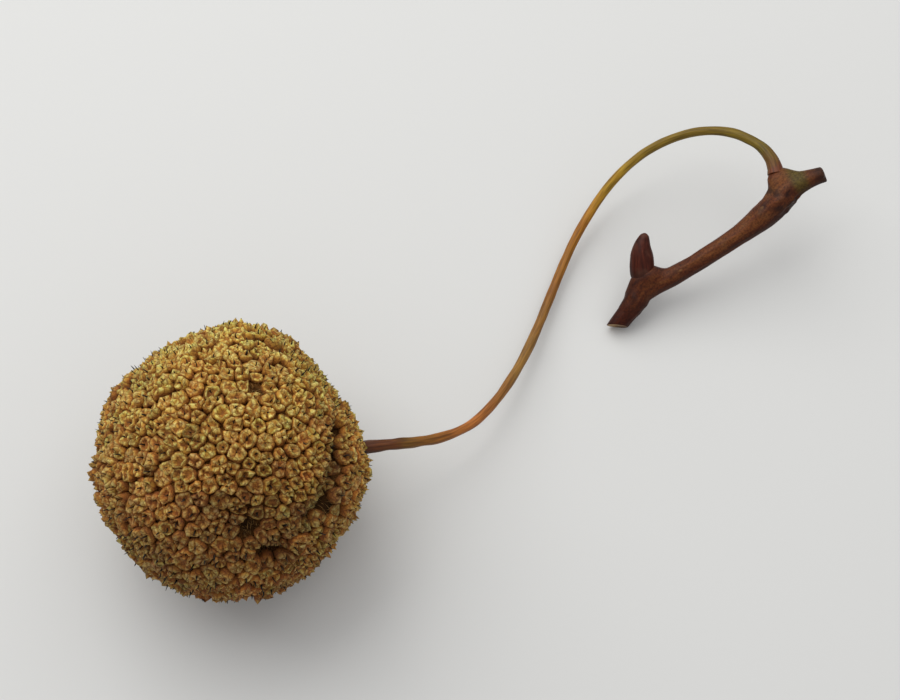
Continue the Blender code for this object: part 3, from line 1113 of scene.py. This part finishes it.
@dataclass
class Twig(Stem):
    """The piece of twig: its slanted cut, cushion under the bud, shaft, thick node and broken stub."""

    points_mm: Table = (
        (46.6, 22.3, 1.15), (48.2, 24.2, 2.2), (49.6, 26.0, 3.1), (51.1, 26.8, 3.6), (53.6, 27.8, 4.4),
        (57.0, 29.5, 5.7), (60.7, 31.5, 7.3), (64.1, 33.6, 8.8), (66.5, 35.5, 10.4), (67.8, 36.6, 11.3),
        (69.6, 37.4, 12.2), (70.9, 37.8, 12.7), (71.55, 37.95, 12.9),
    )
    radii_mm: Table = (
        (0, 1.12), (0.06, 1.24), (0.13, 1.58), (0.22, 1.25), (0.45, 1.15), (0.60, 1.25), (0.72, 1.60),
        (0.80, 1.65), (0.88, 1.25), (0.95, 1.12), (1, 0.98),
    )
    cushion: Lobe = Lobe((49.75, 28.8, 4.7), 1.9 * MM, 0.97, 1.6)
    collar: Lobe = Lobe((65.9, 39.3, 11.65), 1.5 * MM, 0.62, 1.0)
    run: float = 30 * MM
    # The cut end: which way it faces, how far its slant reaches, and the angle at which its wood is palest
    cut_facing: tuple[float, float, float] = (-0.12, -0.97, -0.2)
    cut_reach: float = 1.2 * MM
    pale_side: float = 0.4
    # The broken end: how far its jags and its blackening reach
    jag_reach: float = 0.6 * MM
    black_reach: float = 1.1 * MM
    # The leaf scars sit low on the node's outer flank, which faces away from the stalk
    scar_side: float = 3.5
    # The side that faces this way takes painted shade, which darkens the bark
    down_facing: tuple[float, float, float] = (0.2, -0.9, -0.4)
    rings: int = 260
    columns: int = 72
    seed: int = 81
    cap_shares: tuple[float, ...] = (0.15, 0.45, 0.75, 0.93)

    def swell(self, line: Array, radius: Array, lobe: Lobe) -> Array:
        """Raises a lobe on the skin.

        The rise is what is missing from the skin to the target, times e to the power of minus q, where q is
        the squared distance along over the length plus the squared angle round over the spread, to the
        lobe's power. A power of 1 gives a round top, and a greater one a flatter top with steeper sides.

        Args:
            line: the twig's middle line.
            radius: the radius at each ring and column.
            lobe: the swelling.

        Returns:
            What the lobe adds to the radius.
        """
        ahead, side, lift = self.frame_of(line)
        target = np.array(lobe.target_mm) * MM
        ring = int(np.argmin(np.linalg.norm(line - target, axis=1)))
        out = target - line[ring]
        angle = math.atan2(out @ lift[ring], out @ side[ring])
        rise = np.linalg.norm(out) - radius[ring].mean()
        along = (line - line[ring]) @ ahead[ring] / lobe.length
        around = (turns(self.columns) - angle + math.pi) % (2 * math.pi) - math.pi
        return rise * np.exp(-((along[:, None] ** 2 + (around[None, :] / lobe.spread) ** 2) ** lobe.power))

    def build(self) -> bpy.types.Object:
        """Makes the twig.

        The radius follows the given radii, plus the two lobes, plus low ridges and bumps. Rings closer to
        the middle close both ends: a slanted flat cut at one, and a jagged break at the other.

        Returns:
            The twig's piece.
        """
        line, share = self.middle()
        turn = turns(self.columns)
        sizes = MM * np.interp(share, *np.array(self.radii_mm).T)
        radius = np.repeat(sizes[:, None], self.columns, axis=1)
        radius = radius + self.swell(line, radius, self.cushion) + self.swell(line, radius, self.collar)
        caps = np.array(self.cap_shares)
        count = len(caps)
        shrink = np.concatenate([caps, np.ones(self.rings), caps[::-1]])[:, None]
        order = np.clip(np.arange(-count, self.rings + count), 0, self.rings - 1)
        line, share, radius = line[order], share[order], radius[order]
        at = share[:, None]
        grid = self.on_tube(share, 1.4, 30)
        node = hump(at, 0.80, 0.07) + 0.5 * hump(at, 0.13, 0.05)
        flank = np.clip(np.cos(turn - self.scar_side), 0, 1) ** 2 * hump(at, 0.845, 0.04)
        ridge = np.maximum(ripples(grid * [1.6, 1.6, 0.2], 1.2, self.seed), 0)
        bumps = 0.03 * (ripples(grid, 4.0, self.seed + 1) + ridge)
        bumps += 0.09 * node * ripples(grid, 1.3, self.seed + 2)
        bumps += 0.22 * flank * (1 + ripples(grid, 1.0, self.seed + 6))
        radius = radius + MM * bumps
        to_start, to_end = at * self.run, (1 - at) * self.run
        ahead, side, lift = self.frame_of(line)
        cut = unit(np.array(self.cut_facing))
        slant = circle(turn, side[0], lift[0]) @ cut / -(ahead[0] @ cut) * np.exp(-to_start / self.cut_reach)
        rim = self.on_tube(np.zeros(1), 1, 0)
        jag = 0.14 * ripples(rim, 1.5, self.seed + 3) + 0.10 * ripples(rim, 0.5, self.seed + 7)
        jag = jag * np.exp(-to_end / self.jag_reach)
        domed = np.sqrt(1 - shrink**2)
        domed[:count] = 0
        push = slant * radius * shrink + MM * (jag * shrink**2 + 0.4 * domed)
        edge = np.zeros_like(shrink)
        edge[:count] = 1.0
        edge[-count:] = 0.12
        bare = edge * np.clip(0.7 + 0.5 * np.cos(turn - self.pale_side), 0, 1)
        rough = np.clip(ripples(grid, 1.3, self.seed + 4) - 0.15, 0, 1) * node
        blotches = np.clip(0.7 + ripples(grid, 0.9, self.seed + 5), 0, 1)
        scar = np.clip(0.7 * rough + 1.3 * flank * blotches, 0, 0.9)
        scar = np.maximum(scar, 0.7 * hump(to_end, 0, self.black_reach))
        scar[0] = 0.6
        green = hump(at, 0.918, 0.030, 4) * np.clip(0.7 + 0.4 * np.sin(turn), 0, 0.9)
        # Painted shade on the side that faces down, which goes in with the darker older end
        below = np.clip(circle(turn, side, lift) @ unit(np.array(self.down_facing)) + 0.15, 0, 1)
        older_and_painted_shade = np.maximum(hump(at, 0, 0.24), 0.75 * below)
        values = {"bare": bare, "scar": scar, "green": green, "older_and_painted_shade": older_and_painted_shade}
        mesh = self.sweep("twig_skin", line, radius * shrink, push, values)
        return add_piece(mesh, BarkFinish().make(), "twig")


@dataclass
class Bud(Stem):
    """The winter bud: one cap that swells over its foot, narrows to a blunt tip and leans a little."""

    points_mm: Table = ((49.75, 27.9, 4.1), (49.6, 29.6, 5.3), (49.6, 31.1, 6.3), (49.95, 32.5, 7.25))
    radii_mm: Table = (
        (0, 1.46), (0.05, 1.53), (0.16, 1.56), (0.32, 1.55), (0.50, 1.42), (0.68, 1.14), (0.84, 0.82),
        (0.95, 0.52), (1, 0.16),
    )
    flatness: float = 0.9
    columns: int = 56
    seed: int = 91

    def build(self) -> bpy.types.Object:
        """Makes the bud.

        The radius follows a smooth line through the given radii, flattened across, times low ribs that meet
        at the tip and one deeper fold down the front.

        Returns:
            The bud's piece.
        """
        line, share = self.middle()
        at = share[:, None]
        outline, _ = smooth_line(self.radii_mm, 200)
        turn = turns(self.columns)
        flat = 1 / np.sqrt(np.cos(turn) ** 2 + (np.sin(turn) / self.flatness) ** 2)
        rib = 0.010 * np.cos(9 * turn + 3 * at) + 0.008 * np.cos(5 * turn - 2 * at)
        fold = -0.07 * hump(turn, 1.9, 0.18) * np.sin(math.pi * at)
        change = 1 + rib + fold + 0.012 * ripples(self.on_tube(share, 1, 4), 1.4, self.seed)
        radius = MM * np.interp(at, *outline.T) * flat * change
        along = np.repeat(at, self.columns, axis=1)
        mesh = self.sweep("bud_cap", line, radius, np.zeros_like(radius), {"along": along})
        return add_piece(mesh, BudFinish().make(), "bud")


@dataclass(frozen=True)
class Window:
    """A square soft light: where it hangs and its side, in metres, and its power in watts."""

    name: str
    place: tuple[float, float, float]
    size: float
    power: float

    def hang(self, target: Array) -> None:
        """Hangs the light so that it faces a target."""
        data = bpy.data.lights.new(self.name, "AREA")
        data.size = self.size
        data.energy = self.power
        light = add_object(data)
        light.location = self.place
        back = unit(np.array(self.place) - target)
        light.rotation_euler = (math.acos(back[2]), 0.0, math.atan2(back[1], back[0]) + math.pi / 2)


@dataclass
class Studio:
    """The paper, the lights and the camera, which looks down on the object as the picture does."""

    elevation: float = 70.0
    distance: float = 240 * MM
    ball_height: float = 15.6 * MM
    image_width: int = 900
    image_height: int = 700
    ball_pixel: tuple[float, float] = (233.0, 461.0)
    pixel_size: float = 32 * MM / 274
    sensor: float = 36.0
    nearest_seen: float = 0.01
    paper_half_width: float = 1.5
    windows: tuple[Window, ...] = (
        Window("window", (-0.19, 0.24, 0.37), 0.48, 1.55),
        Window("second_window", (0.08, 0.22, 0.44), 0.55, 0.92),
    )
    lit_place: tuple[float, float, float] = (0.03, 0.015, 0.0)
    surround: str = "#EDEDF0"
    surround_strength: float = 0.66

    def add_paper(self) -> None:
        """Lays the paper at the height that the ball rests on."""
        corners = self.paper_half_width * np.array([(-1, -1, 0), (1, -1, 0), (1, 1, 0), (-1, 1, 0)])
        mesh = make_mesh("paper", corners, (np.array([[0, 1, 2, 3]]), np.zeros((0, 3), int)), {})
        mesh.materials.append(PaperFinish().make())
        add_object(mesh)

    def add_camera(self) -> None:
        """Stands the camera so that the ball's centre falls on its pixel at the picture's scale."""
        tilt = math.radians(self.elevation)
        up = np.array([0.0, math.sin(tilt), math.cos(tilt)])
        back = np.array([0.0, -math.cos(tilt), math.sin(tilt)])
        across = (self.image_width / 2 - self.ball_pixel[0]) * self.pixel_size
        down = (self.ball_pixel[1] - self.image_height / 2) * self.pixel_size
        data = bpy.data.cameras.new("camera")
        data.sensor_width = self.sensor
        data.lens = self.sensor * self.distance / (self.image_width * self.pixel_size)
        data.clip_start = self.nearest_seen
        camera = add_object(data)
        camera.location = np.array([across, 0.0, self.ball_height]) + down * up + self.distance * back
        camera.rotation_euler = (math.radians(90 - self.elevation), 0.0, 0.0)
        bpy.context.scene.camera = camera

    def build(self) -> None:
        """Sets up the paper, the camera, two soft windows and a pale surround."""
        self.add_paper()
        self.add_camera()
        for window in self.windows:
            window.hang(np.array(self.lit_place))
        world = bpy.data.worlds.new("room")
        world.use_nodes = True
        background = world.node_tree.nodes["Background"]
        background.inputs["Color"].default_value = linear(self.surround)
        background.inputs["Strength"].default_value = self.surround_strength
        bpy.context.scene.world = world
        bpy.context.scene.view_settings.view_transform = "Standard"
        bpy.context.scene.view_settings.look = "None"


def write_sizes() -> None:
    """Brings every object's place up to date."""
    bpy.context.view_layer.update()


def main() -> None:
    """Builds the studio and then the object, one sub-assembly after another."""
    logging.basicConfig(level=logging.INFO, format="%(name)s: %(message)s")
    Studio().build()
    for sub_assembly in (SeedHead(), Stalk(), Twig(), Bud()):
        sub_assembly.build()
        log.info("%s done", type(sub_assembly).__name__)
    write_sizes()


if __name__ == "__main__":
    main()
